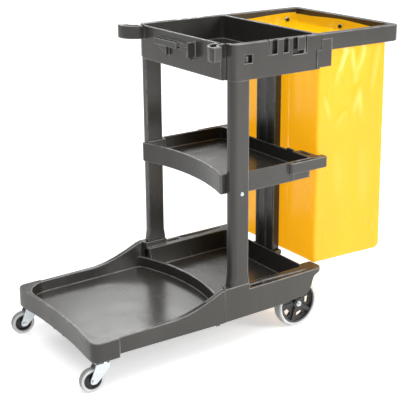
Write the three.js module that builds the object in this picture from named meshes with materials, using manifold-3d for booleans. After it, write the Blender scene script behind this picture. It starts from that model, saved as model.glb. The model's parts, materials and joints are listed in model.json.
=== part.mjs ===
// A wheeled cleaning cart: a moulded front platform and rear tub on casters and rear wheels, three
// posts with a shelf and a top tray, and a vinyl waste bag hung in a frame behind the tray.
// Millimetres. +X points from the platform to the bag and +Z points up, with Z = 0 on the floor.
// Left (-Y) and right (+Y) are those of a person who stands at the bag end and pushes.

import * as THREE from "three";
import { mergeVertices } from "three/addons/utils/BufferGeometryUtils.js";
import Module from "manifold-3d";

// ---------------------------------------------------------------- driving dimensions

const BODY_HALF = 584;
const HALF_WIDTH = 262;
const TOP = 975;
const GAP = 0.3;
const FAR = 2000;
const CORNER_STEPS = 4;
const BOW_STEPS = 10;

const PLATFORM = {
  frontSide: -BODY_HALF, frontMiddle: -568, straightHalf: 234, cornerRadius: 28,
  rearSide: -121, rearMiddle: -62, blockRear: -497, blockProud: 5,
  blockBottom: 97, skirtFront: 107, skirtRear: 101,
  deck: 123, deckUnderside: 116, rim: 160, sweepStart: -300, sweepTop: 213, sweepPower: 1.55,
  frontWall: 12, sideWall: 19, partition: 12, skirtWall: 6, deckCorner: 75, deckRearCorner: 24,
  footSize: 12, footPitch: 60, footCount: 4, clipFront: -151, clipRear: -135, clipBottom: 94,
  clipTop: 112, grooveFront: -186, grooveRear: -112, grooveInner: 250, grooveOuter: 257, grooveDepth: 5,
};

const JOINT_BOLT = { y: 150, z: 108.5, holeRadius: 3.4, length: 24, headRadius: 6 };

const TUB = {
  bottom: 101, rim: 193, floor: 128, floorUnderside: 120, rear: 236,
  innerHalfTop: 215, innerHalfFloor: 204, innerRearTop: 231, innerRearFloor: 222,
  skin: 6, flangeTop: 6, earEnd: 282, earHalf: 196, earHollow: 20, pedestalRear: -24, pedestalHalf: 224,
  holeFront: -13, holeRear: 40, holeY: 244, holeRadius: 8, grooveDepth: 4, spineHalf: 8,
  bracketInner: 184, wellInner: 213.5, wellRoom: 8,
};

const POST = {
  front: -92, rear: -30, inner: 228, outerRadius: 18, radius: 5, wall: 3.5,
  footFlare: 5.4, footTop: 252, top: 865, tongueFront: -50, tongueRear: -33, tongueInner: 249,
  tongueBottom: 839, tongueTop: 934,
};

const REAR_POST = { front: 235, rear: 265, half: 50, rib: 6, edge: 40, grooveDepth: 4, wall: 4 };

const SHELF = {
  frontSide: -112, frontMiddle: -76, rear: 234.5, half: 250, bottom: 512, floor: 534, underside: 527,
  rim: 577, wall: 8, radius: 22, frontHalf: 220, boltX: -58, boltZ: 514, boltHoleRadius: 3.4,
  holderBottom: 540, holderFront: 132, holderHalf: 264, holderRear: 287, slotHalf: 5.6, slotWay: 253,
};

const TRAY = {
  front: -109, pilasterFront: -95, pilasterHalf: 226, rear: 247, bottom: 865, floor: 895,
  underside: 889, wall: 9, innerHalf: 243, innerRear: 234, cavityInner: 248, skin: 5,
  hookX: -112, hookY: 258, hookInner: 25, hookOuter: 58, hookBottom: 932,
  hookTurn: 17, hookSkin: 7, slotFront: -40, slotRear: 34, recessFront: 226, recessTop: 925,
  recessDepth: 3,
};

// Openings in the top edge of the tray's sides, from front to rear.
const TRAY_NOTCHES = [
  { front: 39, rear: 42, bottom: 930, top: FAR },
  { front: 52, rear: 73, bottom: 932, top: FAR },
  { front: 97, rear: 116, bottom: 932, top: FAR },
  { front: 133, rear: 152, bottom: 930, top: FAR },
  { front: 133, rear: 177, bottom: 922, top: 933 },
  { front: 184, rear: 188, bottom: 923, top: FAR },
];

// The ledge, its two gussets, the fin and the lip between them, on the tray's front wall.
const LEDGE = {
  depth: 19, inner: -10, outer: 118, bottom: 930, top: 950, gussetDepth: 14, finDepth: 30,
  finOuter: -91, finInner: -84, finBottom: 914, finTop: 962, lipDepth: 12, lipBottom: 940,
};

const FRAME = {
  front: TRAY.rear + 0.4, bottom: 922, innerHalf: 240, innerRear: 562, outerRadius: 20,
  innerRadius: 14, skin: 5, lugFront: 248, lugRear: 294, lugBottom: 870, lugTop: 958, lugProud: 3,
  noseFront: TRAY.recessFront + 2.5,
};

const BAG = {
  front: 268, rear: 559, half: 228, bottom: 197, top: 962, wall: 3, radius: 20,
  pegZ: 938, pegSideX: 508, pegFrontY: 188, pegRearY: -8, holeRadius: 6.2,
};

const WHEEL = {
  x: 188, radius: 80, width: 34, outerFace: 250, rimRadius: 67.5, hubRadius: 17, boreRadius: 6.75,
  axleRadius: 6.35, windows: 5, windowInner: 38, windowEdge: 13, windowTurn: 15, webHalf: 5,
  spokeHalf: 6, washer: 1.8,
};

const CASTER = {
  x: -546, y: 235, trail: 32, swivelDegrees: -8, radius: 38, width: 22, rimRadius: 26,
  boreRadius: 3.6, axleRadius: 3.2, stemRadius: 5, forkTop: 90.3, plate: 2.7, legGap: 14.6,
};

// The row's origin is the middle of the whole object, casters included.
const CASTER_REACH = CASTER.trail * Math.cos(THREE.MathUtils.degToRad(CASTER.swivelDegrees));
const FRONT_END = CASTER.x - CASTER_REACH - CASTER.radius;
const SHIFT = -(FRONT_END + BODY_HALF) / 2;

// ---------------------------------------------------------------- finishes

const FINISHES = {
  grey_plastic: { color: 0x4a4744, roughness: 0.38, metalness: 0 },
  black_plastic: { color: 0x1c1c1d, roughness: 0.42, metalness: 0 },
  yellow_vinyl: { color: 0xf7cf1d, roughness: 0.35, metalness: 0 },
  tyre_grey: { color: 0xa9aaab, roughness: 0.6, metalness: 0 },
  zinc: { color: 0xc9d2d8, roughness: 0.3, metalness: 1 },
  axle_steel: { color: 0xa8a9aa, roughness: 0.35, metalness: 1 },
};

// ---------------------------------------------------------------- joining and cutting

const wasm = await Module();
wasm.setup();

/** Turns a closed geometry into a solid that can be joined and cut. */
function solidOf(geometry) {
  const bare = geometry.clone();
  bare.deleteAttribute("normal");
  bare.deleteAttribute("uv");
  const merged = geometry.userData.welded ? bare : mergeVertices(bare, 1e-3);
  const index = merged.index.array;
  const kept = [];
  for (let i = 0; i < index.length; i += 3) {
    const [a, b, c] = [index[i], index[i + 1], index[i + 2]];
    if (a !== b && b !== c && c !== a) kept.push(a, b, c);
  }
  return new wasm.Manifold(new wasm.Mesh({
    numProp: 3,
    vertProperties: Float32Array.from(merged.attributes.position.array),
    triVerts: Uint32Array.from(kept),
  }));
}

/** Turns a solid back into a geometry. */
function geometryOf(solid) {
  const mesh = solid.getMesh();
  const geometry = new THREE.BufferGeometry();
  geometry.setAttribute("position", new THREE.BufferAttribute(mesh.vertProperties, 3));
  geometry.setIndex(new THREE.BufferAttribute(mesh.triVerts, 1));
  geometry.computeVertexNormals();
  geometry.userData = { welded: true };
  return geometry;
}

/** Joins the first list of geometries, then cuts every one of the second list from it. */
function build(joined, removed = []) {
  let solid = solidOf(joined[0]);
  for (const piece of joined.slice(1)) solid = solid.add(solidOf(piece));
  for (const piece of removed) solid = solid.subtract(solidOf(piece));
  return geometryOf(solid);
}

/** The part of one geometry that lies inside another. */
function common(first, second) {
  return geometryOf(solidOf(first).intersect(solidOf(second)));
}

/** The same geometry on the other side of the cart's middle plane. */
function mirrored(geometry) {
  const copy = geometry.clone();
  const position = copy.attributes.position;
  for (let i = 0; i < position.count; i += 1) position.setY(i, -position.getY(i));
  if (copy.index) {
    const index = copy.index;
    for (let i = 0; i < index.count; i += 3) {
      const second = index.getX(i + 1);
      index.setX(i + 1, index.getX(i + 2));
      index.setX(i + 2, second);
    }
    return copy;
  }
  return mirroredLoose(copy);
}

/** Turns over the faces of a geometry without an index. */
function mirroredLoose(geometry) {
  const position = geometry.attributes.position;
  const held = new THREE.Vector3();
  const other = new THREE.Vector3();
  for (let i = 0; i < position.count; i += 3) {
    held.fromBufferAttribute(position, i + 1);
    other.fromBufferAttribute(position, i + 2);
    position.setXYZ(i + 1, other.x, other.y, other.z);
    position.setXYZ(i + 2, held.x, held.y, held.z);
  }
  return geometry;
}

/** A list of geometries with a mirrored copy of each. */
function bothSides(...geometries) {
  return geometries.flatMap((geometry) => [geometry, mirrored(geometry)]);
}

// ---------------------------------------------------------------- basic forms

/** A box from its lowest and highest corner. */
function box(x0, x1, y0, y1, z0, z1) {
  const geometry = new THREE.BoxGeometry(x1 - x0, y1 - y0, z1 - z0);
  return geometry.translate((x0 + x1) / 2, (y0 + y1) / 2, (z0 + z1) / 2);
}

/** Points of a closed outline. Each corner is [x, y, radius]; a corner without a radius is sharp. */
function outline(corners) {
  const points = [];
  corners.forEach(([x, y, radius = 0], i) => {
    const corner = new THREE.Vector2(x, y);
    if (radius === 0) {
      points.push(corner);
      return;
    }
    const before = corners[(i + corners.length - 1) % corners.length];
    const after = corners[(i + 1) % corners.length];
    const back = new THREE.Vector2(before[0] - x, before[1] - y).normalize();
    const on = new THREE.Vector2(after[0] - x, after[1] - y).normalize();
    const half = Math.acos(THREE.MathUtils.clamp(back.dot(on), -1, 1)) / 2;
    const inward = back.clone().add(on).normalize();
    const centre = corner.clone().addScaledVector(inward, radius / Math.sin(half));
    const start = corner.clone().addScaledVector(back, radius / Math.tan(half)).sub(centre);
    const end = corner.clone().addScaledVector(on, radius / Math.tan(half)).sub(centre);
    const turn = Math.atan2(start.cross(end), start.dot(end));
    for (let k = 0; k <= CORNER_STEPS; k += 1) {
      const spoke = start.clone().rotateAround(new THREE.Vector2(), turn * k / CORNER_STEPS);
      points.push(spoke.add(centre));
    }
  });
  return points;
}

/** A flat shape in plan, raised from z0 to z1. */
function plan(points, z0, z1) {
  const shape = new THREE.Shape(points);
  const settings = { depth: z1 - z0, bevelEnabled: false };
  return new THREE.ExtrudeGeometry(shape, settings).translate(0, 0, z0);
}

/** A shape seen from the side, X across and Z up, stretched from y0 to y1. */
function sideways(points, y0, y1) {
  const shape = new THREE.Shape(points);
  const settings = { depth: y1 - y0, bevelEnabled: false };
  return new THREE.ExtrudeGeometry(shape, settings).rotateX(Math.PI / 2).translate(0, y1, 0);
}

/** A shape seen from the front, Y across and Z up, stretched from x0 to x1. */
function endways(points, x0, x1) {
  const shape = new THREE.Shape(points);
  const settings = { depth: x1 - x0, bevelEnabled: false };
  const geometry = new THREE.ExtrudeGeometry(shape, settings);
  const turn = new THREE.Matrix4().makeBasis(
    new THREE.Vector3(0, 1, 0), new THREE.Vector3(0, 0, 1), new THREE.Vector3(1, 0, 0));
  return geometry.applyMatrix4(turn).translate(x0, 0, 0);
}

/** A closed body through two outlines of equally many points at the heights z0 and z1. */
function lofted(lower, z0, upper, z1) {
  const clockwise = THREE.ShapeUtils.isClockWise(lower);
  const bottom = clockwise ? [...lower].reverse() : lower;
  const top = clockwise ? [...upper].reverse() : upper;
  const count = bottom.length;
  const positions = [];
  for (const point of bottom) positions.push(point.x, point.y, z0);
  for (const point of top) positions.push(point.x, point.y, z1);
  const index = [];
  for (const [a, b, c] of THREE.ShapeUtils.triangulateShape(bottom, [])) {
    index.push(a, c, b);
    index.push(a + count, b + count, c + count);
  }
  for (let i = 0; i < count; i += 1) {
    const next = (i + 1) % count;
    index.push(i, next, next + count);
    index.push(i, next + count, i + count);
  }
  const geometry = new THREE.BufferGeometry();
  geometry.setAttribute("position", new THREE.Float32BufferAttribute(positions, 3));
  geometry.setIndex(index);
  return geometry;
}

/** A rod along Y from y0 to y1. */
function rodY(x, z, radius, y0, y1, sides = 16) {
  const geometry = new THREE.CylinderGeometry(radius, radius, y1 - y0, sides);
  return geometry.translate(x, (y0 + y1) / 2, z);
}

/** A rod along X from x0 to x1. */
function rodX(y, z, radius, x0, x1, sides = 16) {
  const geometry = new THREE.CylinderGeometry(radius, radius, x1 - x0, sides);
  return geometry.rotateZ(-Math.PI / 2).translate((x0 + x1) / 2, y, z);
}

/** A rod along Z from z0 to z1. */
function rodZ(x, y, radius, z0, z1, sides = 16) {
  const geometry = new THREE.CylinderGeometry(radius, radius, z1 - z0, sides);
  return geometry.rotateX(Math.PI / 2).translate(x, y, (z0 + z1) / 2);
}

/** A turned body about Y. Each profile point is [radius, y]. */
function turned(profile, sides) {
  return new THREE.LatheGeometry(profile.map(([r, y]) => new THREE.Vector2(r, y)), sides);
}

/** A turned ring about Y, whose profile closes on itself. */
function turnedRing(profile, sides) {
  return turned([...profile, profile[0]], sides);
}

/** A bowed edge across the cart: X at a given Y, from its middle and its side value. */
function bow(middle, side, half, y) {
  return middle + (side - middle) * (y / half) ** 2;
}

/** Outline corners along a bowed edge, from y0 to y1. */
function bowCorners(middle, side, half, y0, y1, steps = BOW_STEPS) {
  const corners = [];
  for (let k = 0; k <= steps; k += 1) {
    const y = y0 + (y1 - y0) * k / steps;
    corners.push([bow(middle, side, half, y), y]);
  }
  return corners;
}

/** A lens-shaped outline along X between two points, with the given half thickness. */
function lens(x0, x1, y, thickness) {
  const steps = 8;
  const points = [];
  for (let k = 0; k < 2 * steps; k += 1) {
    const t = k < steps ? k / steps : (2 * steps - k) / steps;
    const edge = Math.sqrt(Math.sin(Math.PI * t)) * thickness * (k < steps ? -1 : 1);
    points.push(new THREE.Vector2(x0 + (x1 - x0) * t, y + edge));
  }
  return points;
}

/** A sector of a ring in plan about (x, y), from one angle to another in degrees. */
function ringSector(x, y, inner, outer, from, to, steps = 7) {
  const points = [];
  const push = (radius, degrees) => {
    const angle = THREE.MathUtils.degToRad(degrees);
    points.push(new THREE.Vector2(x + radius * Math.cos(angle), y + radius * Math.sin(angle)));
  };
  for (let k = 0; k <= steps; k += 1) push(outer, from + (to - from) * k / steps);
  for (let k = steps; k >= 0; k -= 1) push(inner, from + (to - from) * k / steps);
  return points;
}

// ---------------------------------------------------------------- front platform

const rearBow = (y, offset = 0) => bow(PLATFORM.rearMiddle, PLATFORM.rearSide, HALF_WIDTH, y) + offset;

/** Outline corners along the joint between platform and tub, moved along X. */
function jointCorners(y0, y1, offset, steps = BOW_STEPS) {
  const { rearMiddle, rearSide } = PLATFORM;
  return bowCorners(rearMiddle + offset, rearSide + offset, HALF_WIDTH, y0, y1, steps);
}

/** The angle about Z that turns +X square to the joint at the right side's bolt. */
function jointTurn() {
  const { rearMiddle, rearSide } = PLATFORM;
  return Math.atan(2 * (rearMiddle - rearSide) * JOINT_BOLT.y / HALF_WIDTH ** 2);
}

/** The hole for the bolt that joins platform and tub, on the right side. */
function jointBoltHole() {
  const b = JOINT_BOLT;
  return rodX(0, 0, b.holeRadius, -20, 20, 10).rotateZ(jointTurn()).translate(rearBow(b.y), b.y, b.z);
}

/** Height of the side walls: level at the front, sweeping up to the posts. */
function sweepHeight(x) {
  const { sweepStart, rearSide, rim, sweepTop, sweepPower } = PLATFORM;
  const t = Math.max(0, (x - sweepStart) / (rearSide - sweepStart));
  return rim + (sweepTop - rim) * t ** sweepPower;
}

/** Side view of the space above the swept wall, lowered by depth, from x0 to x1. */
function spaceOverSweep(x0, x1, depth) {
  const steps = 7;
  const points = [new THREE.Vector2(x0, TOP), new THREE.Vector2(x1, TOP)];
  for (let k = steps; k >= 0; k -= 1) {
    const x = x0 + (x1 - x0) * k / steps;
    points.push(new THREE.Vector2(x, sweepHeight(Math.min(x, PLATFORM.rearSide)) - depth));
  }
  return points;
}

function frontPlatform() {
  const p = PLATFORM;
  const skirtHalf = HALF_WIDTH - p.blockProud;
  const body = plan(outline([
    [p.frontSide, HALF_WIDTH, p.cornerRadius],
    [p.blockRear, HALF_WIDTH],
    [p.blockRear + 1, skirtHalf],
    ...jointCorners(HALF_WIDTH, -HALF_WIDTH, -GAP / 2),
    [p.blockRear + 1, -skirtHalf],
    [p.blockRear, -HALF_WIDTH],
    [p.frontSide, -HALF_WIDTH, p.cornerRadius],
    ...bowCorners(p.frontMiddle, p.frontSide, p.straightHalf, -200, 200, 8),
  ]), p.blockBottom, p.sweepTop + 1);

  const innerHalf = HALF_WIDTH - p.sideWall;
  const overFront = box(-FAR, p.sweepStart, -FAR, FAR, p.rim, FAR);
  const overSweep = sideways(spaceOverSweep(p.sweepStart, 0, 0), -FAR, FAR);
  const overPartition = box(p.sweepStart, 0, -innerHalf, innerHalf, p.rim, FAR);
  const wallGroove = sideways(
    spaceOverSweep(p.grooveFront, p.grooveRear, p.grooveDepth), p.grooveInner, p.grooveOuter);

  const partitionFront = -p.partition;
  const deckPocket = plan(outline([
    [p.frontSide + p.frontWall, innerHalf, p.deckCorner],
    [rearBow(innerHalf, partitionFront), innerHalf, p.deckRearCorner],
    ...jointCorners(200, -200, partitionFront),
    [rearBow(innerHalf, partitionFront), -innerHalf, p.deckRearCorner],
    [p.frontSide + p.frontWall, -innerHalf, p.deckCorner],
    ...bowCorners(p.frontMiddle + p.frontWall, p.frontSide + p.frontWall, p.straightHalf, -150, 150, 6),
  ]), p.deck, FAR);

  const underFront = box(p.blockRear + 10, -310, 8, skirtHalf - p.skirtWall - 4, 0, p.deckUnderside);
  const underRear = plan(outline([
    [-302, 8],
    ...jointCorners(8, skirtHalf - p.skirtWall, -p.skirtWall, 5),
    [-302, skirtHalf - p.skirtWall - 3],
  ]), 0, p.deckUnderside);
  const underNose = box(-556, -495, -186, 186, 0, p.deckUnderside);
  const underSkirt = sideways([
    new THREE.Vector2(p.blockRear, 0),
    new THREE.Vector2(0, 0),
    new THREE.Vector2(0, p.skirtRear),
    new THREE.Vector2(p.rearSide, p.skirtRear),
    new THREE.Vector2(p.blockRear, p.skirtFront),
  ], -FAR, FAR);
  const stemHole = rodZ(CASTER.x, CASTER.y, CASTER.stemRadius + GAP, 0, 141, 12);
  const moulding = build([body], [
    overFront, overSweep, overPartition, deckPocket, underNose, underSkirt,
    ...bothSides(wallGroove, underFront, underRear, stemHole, jointBoltHole()),
  ]);
  const clip = box(p.clipFront, p.clipRear, skirtHalf - p.skirtWall, skirtHalf + 1, p.clipBottom, p.clipTop);
  const feet = [];
  for (let k = 0; k < p.footCount; k += 1) {
    const y = (k - (p.footCount - 1) / 2) * p.footPitch;
    const half = p.footSize / 2;
    const foot = box(0, p.footSize - 1, y - half, y + half, p.blockBottom - 4, p.deck);
    feet.push(foot.translate(p.frontMiddle + 1, 0, 0));
  }
  return build([moulding, ...feet, ...bothSides(clip)]);
}

// ---------------------------------------------------------------- rear tub

function rearTub() {
  const t = TUB;
  const body = plan(outline([
    ...jointCorners(-HALF_WIDTH, HALF_WIDTH, GAP / 2),
    [t.rear, HALF_WIDTH],
    [t.rear, -HALF_WIDTH],
  ]), t.bottom, PLATFORM.sweepTop);
  const overMiddle = box(-FAR, FAR, -t.pedestalHalf, t.pedestalHalf, t.rim, FAR);
  const overRear = box(t.pedestalRear, FAR, -FAR, FAR, t.rim, FAR);
  const earSide = sideways(outline([
    [226, t.rim],
    [t.earEnd, t.rim, 5],
    [t.earEnd, t.rim - 12, 5],
    [t.rear + 9, t.rim - 22, t.earHollow],
    [t.rear, 148],
    [226, 148],
  ]), t.earHalf, HALF_WIDTH);
  const earPlan = plan(outline([
    [200, t.earHalf - 1],
    [t.earEnd, t.earHalf - 1, 16],
    [t.earEnd, HALF_WIDTH, 26],
    [200, HALF_WIDTH],
  ]), 100, 230);
  const ear = common(earSide, earPlan);
  const postLedge = sideways([
    new THREE.Vector2(226, t.rim),
    new THREE.Vector2(REAR_POST.rear + 1, t.rim),
    new THREE.Vector2(REAR_POST.rear + 1, t.rim - 14),
    new THREE.Vector2(t.rear, 146),
    new THREE.Vector2(226, 146),
  ], -REAR_POST.half - 12, REAR_POST.half + 12);
  const bracket = sideways(outline([
    [WHEEL.x - 24, t.floorUnderside + 4],
    [WHEEL.x - 18, WHEEL.radius - 17, 12],
    [WHEEL.x + 18, WHEEL.radius - 17, 12],
    [WHEEL.x + 24, t.floorUnderside + 4],
  ]), t.bracketInner, t.innerHalfFloor + 2);

  const pocketOutline = (half, rear) => outline([
    [-200, half],
    [rear, half, 20],
    [rear, -half, 20],
    [-200, -half],
  ]);
  const pocket = lofted(
    pocketOutline(t.innerHalfFloor, t.innerRearFloor), t.floor,
    pocketOutline(t.innerHalfTop, t.innerRearTop), t.rim + 1);
  const underFront = plan(outline([
    [85, t.spineHalf],
    [85, t.innerHalfFloor - 4],
    ...jointCorners(t.innerHalfFloor - 4, t.spineHalf, 8, 5),
  ]), 0, t.floorUnderside);
  const underRear = box(92, 210, t.spineHalf, 180, 0, t.floorUnderside);
  const underFlange = box(-110, 92, t.innerHalfTop + 8, HALF_WIDTH - t.skin, 0, t.rim - t.flangeTop);
  const well = rodY(WHEEL.x, WHEEL.radius, WHEEL.radius + t.wellRoom, t.wellInner, HALF_WIDTH - t.skin, 28);
  const underSkirt = sideways([
    new THREE.Vector2(90, 0),
    new THREE.Vector2(90, t.bottom),
    new THREE.Vector2(160, 107),
    new THREE.Vector2(212, 111),
    new THREE.Vector2(233, 137),
    new THREE.Vector2(t.rear + 1, 148),
    new THREE.Vector2(FAR, 148),
    new THREE.Vector2(FAR, 0),
  ], -FAR, FAR);
  const holeCorner = t.holeRadius - 0.1;
  const hole = plan(outline([
    [t.holeFront, t.holeY - t.holeRadius, holeCorner],
    [t.holeRear, t.holeY - t.holeRadius, holeCorner],
    [t.holeRear, t.holeY + t.holeRadius, holeCorner],
    [t.holeFront, t.holeY + t.holeRadius, holeCorner],
  ]), 150, 230);
  const groove = plan([
    new THREE.Vector2(46, 231),
    new THREE.Vector2(223, 243),
    new THREE.Vector2(223, 246),
    new THREE.Vector2(46, 256),
  ], t.rim - t.grooveDepth, 230);
  const axleHole = rodY(WHEEL.x, WHEEL.radius, WHEEL.axleRadius + GAP, 150, 213, 16);

  const shell = build([body], [underSkirt, overMiddle, overRear]);
  const hollow = build([shell, postLedge, ...bothSides(ear)], [
    pocket,
    ...bothSides(underFront, underRear, underFlange, well, hole, groove, jointBoltHole()),
  ]);
  return build([hollow, ...bothSides(bracket)], bothSides(axleHole));
}

// ---------------------------------------------------------------- posts

/** Outline of a front post on the right side, grown by some millimetres along X. */
function postOutline(grow, shrink = 0) {
  const p = POST;
  const outer = HALF_WIDTH - shrink;
  return outline([
    [p.front - grow + shrink, outer, p.outerRadius - shrink],
    [p.front - grow + shrink, p.inner + shrink, p.radius - shrink],
    [p.rear + grow - shrink, p.inner + shrink, p.radius - shrink],
    [p.rear + grow - shrink, outer, p.radius - shrink],
  ]);
}

/** The hole for the bolt through a front post and the shelf, on the right side. */
function shelfBoltHole() {
  return rodY(SHELF.boltX, SHELF.boltZ, SHELF.boltHoleRadius, 200, 280, 12);
}

function frontPost() {
  const p = POST;
  const foot = PLATFORM.sweepTop + GAP;
  const shaft = plan(postOutline(0), foot + 10, p.top - GAP);
  const flare = lofted(postOutline(p.footFlare), foot, postOutline(0), p.footTop);
  const hollow = plan(postOutline(0, p.wall), 0, FAR);
  const tube = build([shaft, flare], [hollow, shelfBoltHole()]);
  const inner = p.tongueInner;
  const tongue = box(p.tongueFront, p.tongueRear, inner, inner + 6, p.tongueBottom, p.tongueTop);
  const rib = box(p.tongueFront, p.tongueRear, inner, HALF_WIDTH - 2, p.tongueBottom, p.top - 12);
  const latch = box(
    p.tongueFront + 4, p.tongueRear - 4, inner, HALF_WIDTH - 1.5, p.tongueTop - 13, p.tongueTop - 1);
  return build([tube, tongue, rib, latch]);
}

function rearPost() {
  const p = REAR_POST;
  const recessed = p.front + p.grooveDepth;
  const half = [
    [recessed, -p.rib - 2], [p.front, -p.rib], [p.front, p.rib], [recessed, p.rib + 2],
    [recessed, p.edge - 2], [p.front, p.edge], [p.front, p.half, 4], [p.rear, p.half, 6],
  ];
  const otherHalf = [
    [p.rear, -p.half, 6], [p.front, -p.half, 4], [p.front, -p.edge], [recessed, -p.edge + 2],
  ];
  const shaft = plan(outline([...half, ...otherHalf]), TUB.rim + GAP, POST.top - GAP);
  const hollow = box(recessed + p.wall, p.rear - p.wall, -p.half + p.wall, p.half - p.wall, 0, FAR);
  return build([shaft], [hollow]);
}

// ---------------------------------------------------------------- middle shelf

function middleShelf() {
  const s = SHELF;
  const between = POST.inner - GAP;
  const behindPost = POST.rear + GAP;
  const front = (offset, y0, y1, steps = BOW_STEPS) => (
    bowCorners(s.frontMiddle + offset, s.frontSide + offset, s.frontHalf, y0, y1, steps));
  const body = plan(outline([
    ...front(0, -s.frontHalf, s.frontHalf),
    [s.frontSide, between],
    [behindPost, between],
    [behindPost, s.half],
    [s.rear, s.half, s.radius],
    [s.rear, -s.half, s.radius],
    [behindPost, -s.half],
    [behindPost, -between],
    [s.frontSide, -between],
  ]), s.bottom, s.rim);
  const narrow = between - s.wall;
  const wide = s.half - s.wall;
  const pocket = plan(outline([
    ...front(s.wall, -200, 200),
    [s.frontSide + s.wall + 7, narrow],
    [behindPost + s.wall, narrow],
    [behindPost + s.wall, wide, 6],
    [s.rear - s.wall, wide, s.radius - s.wall],
    [s.rear - s.wall, -wide, s.radius - s.wall],
    [behindPost + s.wall, -wide, 6],
    [behindPost + s.wall, -narrow],
    [s.frontSide + s.wall + 7, -narrow],
  ]), s.floor, FAR);
  const underFront = plan(outline([
    ...front(s.wall, 5, narrow, 5),
    [60, narrow],
    [60, 5],
  ]), 0, s.underside);
  const underRear = box(66, s.rear - s.wall, 5, wide, 0, s.underside);
  const boltTab = box(s.boltX - 14, s.boltX + 14, narrow, between, s.boltZ - 12, s.bottom + 1);
  const holder = plan(outline([
    [s.holderFront, wide + 2],
    [s.holderFront, s.holderHalf, 11],
    [s.holderRear, s.holderHalf, 10],
    [s.holderRear, 235, 7],
    [BAG.front - 2, 230, 4],
    [BAG.front - 3, 158, 9],
    [s.rear - 4, 148],
    [s.rear - 4, wide + 2],
  ]), s.holderBottom, s.rim - 1);
  const sideSlot = plan(lens(s.holderFront + 12, 262, s.slotWay, s.slotHalf), 500, 600);
  const rearSlot = plan(lens(0, 56, 0, 6.2), 500, 600).rotateZ(Math.PI / 2).translate(250, 165, 0);
  const tab = box(s.rear - s.wall, s.rear, 125, 159, s.rim - 1, s.rim + 6);
  return build([body, ...bothSides(boltTab, holder, tab)], [
    pocket,
    ...bothSides(underFront, underRear, shelfBoltHole(), sideSlot, rearSlot),
  ]);
}

// ---------------------------------------------------------------- top tray

/** The forward curved hook that holds a tool handle at the tray's right front corner. */
function trayHook() {
  const t = TRAY;
  const arm = plan(
    ringSector(t.hookX, t.hookY, t.hookInner, t.hookOuter, 180 - t.hookTurn, 270), t.hookBottom, TOP);
  const root = box(
    t.hookX - 1, t.pilasterFront + 2, t.hookY - t.hookOuter, t.pilasterHalf, t.hookBottom, TOP);
  const hollow = plan(ringSector(
    t.hookX, t.hookY, t.hookInner + t.hookSkin, t.hookOuter - t.hookSkin, 182, 256), t.hookBottom + 8, FAR);
  return build([arm, root], [hollow]);
}

/** Ledge, two gussets and a fin on the tray's front wall. */
function frontLedge() {
  const l = LEDGE;
  const wall = TRAY.front + 1;
  const ledge = box(wall - l.depth, wall, l.inner, l.outer, l.bottom, l.top);
  const gusset = (outer, inner, high, low) => endways([
    new THREE.Vector2(outer, high),
    new THREE.Vector2(inner, low),
    new THREE.Vector2(inner, high),
  ], wall - l.gussetDepth, wall);
  const outerGusset = gusset(l.outer - 3, l.inner + 66, l.bottom + 1, l.bottom - 30);
  const innerGusset = gusset(l.inner - 2, l.finInner + 4, l.lipBottom + 1, l.lipBottom - 34);
  const fin = box(wall - l.finDepth, wall, l.finOuter, l.finInner, l.finBottom, l.finTop);
  const lip = box(wall - l.lipDepth, wall, l.finInner, l.inner + 1, l.lipBottom, l.top);
  return build([ledge, outerGusset, innerGusset, fin, lip]);
}

function topTray() {
  const t = TRAY;
  const body = plan(outline([
    [t.front, -t.pilasterHalf + 5, 3],
    [t.front, t.pilasterHalf - 5, 3],
    [t.pilasterFront, t.pilasterHalf, 2],
    [t.pilasterFront, HALF_WIDTH, POST.outerRadius],
    [t.rear, HALF_WIDTH],
    [t.rear, -HALF_WIDTH],
    [t.pilasterFront, -HALF_WIDTH, POST.outerRadius],
    [t.pilasterFront, -t.pilasterHalf, 2],
  ]), t.bottom, TOP);
  const half = t.innerHalf;
  const pocket = plan(outline([
    [t.front + t.wall, -half + 26, 8],
    [t.front + t.wall, half - 26, 8],
    [t.front + t.wall + 16, half, 8],
    [t.innerRear, half, 16],
    [t.innerRear, -half, 16],
    [t.front + t.wall + 16, -half, 8],
  ]), t.floor, FAR);
  const under = box(t.front + t.wall, t.innerRear - 4, 5, POST.inner - 4, 0, t.underside);
  const underSide = box(POST.rear + 6, t.innerRear - 4, 200, t.innerHalf - 2, 0, t.underside);
  const cavity = box(POST.front + 12, 236, t.cavityInner, HALF_WIDTH - t.skin, 0, TOP - 6);
  const notches = TRAY_NOTCHES.map((notch) => (
    box(notch.front, notch.rear, t.cavityInner + 1, FAR, notch.bottom, notch.top)));
  const latchWindow = box(
    POST.tongueFront - 2, POST.tongueRear + 11, t.cavityInner + 3, FAR,
    POST.tongueTop - 19, POST.tongueTop + 5);
  const slotY = (t.cavityInner + HALF_WIDTH - t.skin) / 2;
  const slot = plan(lens(t.slotFront, t.slotRear, slotY, 4.2), TOP - 20, FAR);
  const recess = box(t.recessFront, FAR, HALF_WIDTH - t.recessDepth, FAR, 0, t.recessTop);
  return build([body, frontLedge(), ...bothSides(trayHook())], [
    pocket,
    ...bothSides(under, underSide, cavity, ...notches, latchWindow, slot, recess),
  ]);
}

// ---------------------------------------------------------------- bag frame, bag and its pegs

/** Plan of the U-shaped frame's outline, moved inwards by some millimetres. */
function frameOutline(half, rear, front, radius) {
  return outline([[front, half], [front, -half], [rear, -half, radius], [rear, half, radius]]);
}

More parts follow.
